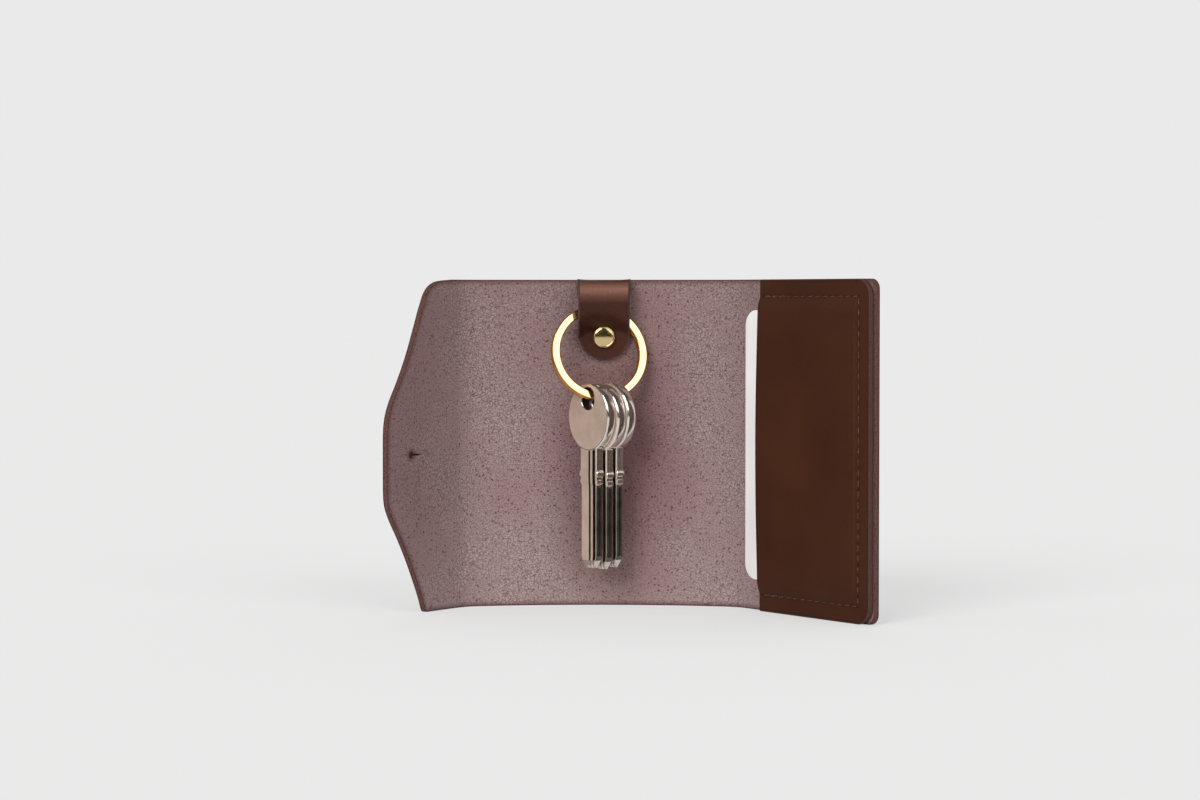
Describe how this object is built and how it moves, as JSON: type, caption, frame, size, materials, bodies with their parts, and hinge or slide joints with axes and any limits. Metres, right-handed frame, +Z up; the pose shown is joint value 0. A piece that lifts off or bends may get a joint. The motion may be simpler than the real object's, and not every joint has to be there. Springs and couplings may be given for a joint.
{
  "type": "key case",
  "caption": "Trifold leather key case standing open: curved body, tapered closing flap, card pocket panel, riveted ring tab, split ring with keys and a blank card.",
  "frame": {"origin": "middle of the case's own box on the surface that it stands on", "axes": "+X to the pocket panel's side, +Y from the open side towards the back of the body, +Z up along the height of the case"},
  "size_m": [0.1526, 0.0628, 0.105],
  "materials": {
    "body_leather": "vegetable-tanned leather, smooth brown grain outside, suede-like flesh inside",
    "pocket_leather": "smooth dark brown grain side, burnished edges",
    "tab_leather": "smooth dark brown, burnished edges",
    "thread": "waxed thread, tone on tone",
    "card_plastic": "smooth white plastic, satin",
    "brass": "polished brass",
    "ring_metal": "bright gold-coloured plating on spring wire",
    "key_metal": "polished warm nickel silver"
  },
  "bodies": {
    "middle": {"body_middle": "body_leather", "ring_tab": "tab_leather", "rivet_cap": "brass", "rivet_post": "brass"},
    "left_spine": {"left_spine": "body_leather"},
    "left_flap": {"left_flap": "body_leather"},
    "right_spine": {"right_spine": "body_leather"},
    "right_panel": {"right_panel": "body_leather", "card_pocket": "pocket_leather", "pocket_thread_front": "thread", "pocket_thread_back": "thread", "stud_head": "brass", "stud_screw": "brass"},
    "card": {"blank_card": "card_plastic"},
    "ring": {"split_ring": "ring_metal"},
    "key_1": {"key_1": "key_metal"},
    "key_2": {"key_2": "key_metal"},
    "key_3": {"key_3": "key_metal"}
  },
  "joints": [
    {"name": "left_fold", "type": "hinge", "parent": "middle", "child": "left_spine", "pos_m": [-0.04462, 0.02468, 0], "axis": [0, 0, 1], "range_deg": [-21, 49.8]},
    {"name": "left_fold_outer", "type": "hinge", "parent": "left_spine", "child": "left_flap", "pos_m": [-0.06251, 0.00857, 0], "axis": [0, 0, 1], "range_deg": [-32.5, 76.8]},
    {"name": "right_fold", "type": "hinge", "parent": "middle", "child": "right_spine", "pos_m": [0.01702, 0.02599, 0], "axis": [0, 0, -1], "range_deg": [-29.5, 70]},
    {"name": "right_fold_outer", "type": "hinge", "parent": "right_spine", "child": "right_panel", "pos_m": [0.03807, 0.01832, 0], "axis": [0, 0, -1], "range_deg": [-24, 56.7]},
    {"name": "card_slide", "type": "slide", "parent": "right_panel", "child": "card", "axis": [0.5962, -0.8028, 0], "range_m": [-0.0014, 0]},
    {"name": "ring_swing", "type": "hinge", "parent": "middle", "child": "ring", "pos_m": [-0.00989, 0.02392, 0.09342], "axis": [0.9659, 0.2588, 0], "range_deg": [-18, 0]},
    {"name": "key_1_swing", "type": "hinge", "parent": "ring", "child": "key_1", "pos_m": [-0.01182, 0.01636, 0.06804], "axis": [0.766, 0.6428, 0], "range_deg": [-75, 5]},
    {"name": "key_2_swing", "type": "hinge", "parent": "ring", "child": "key_2", "pos_m": [-0.0081, 0.01722, 0.06754], "axis": [0.766, 0.6428, 0], "range_deg": [-75, 5]},
    {"name": "key_3_swing", "type": "hinge", "parent": "ring", "child": "key_3", "pos_m": [-0.00445, 0.01834, 0.06804], "axis": [0.766, 0.6428, 0], "range_deg": [-75, 5]}
  ],
  "couplings": [
    {"joint": "left_fold_outer", "follows": "left_fold", "ratio": 1.5381},
    {"joint": "right_fold_outer", "follows": "right_fold", "ratio": 0.80832}
  ]
}
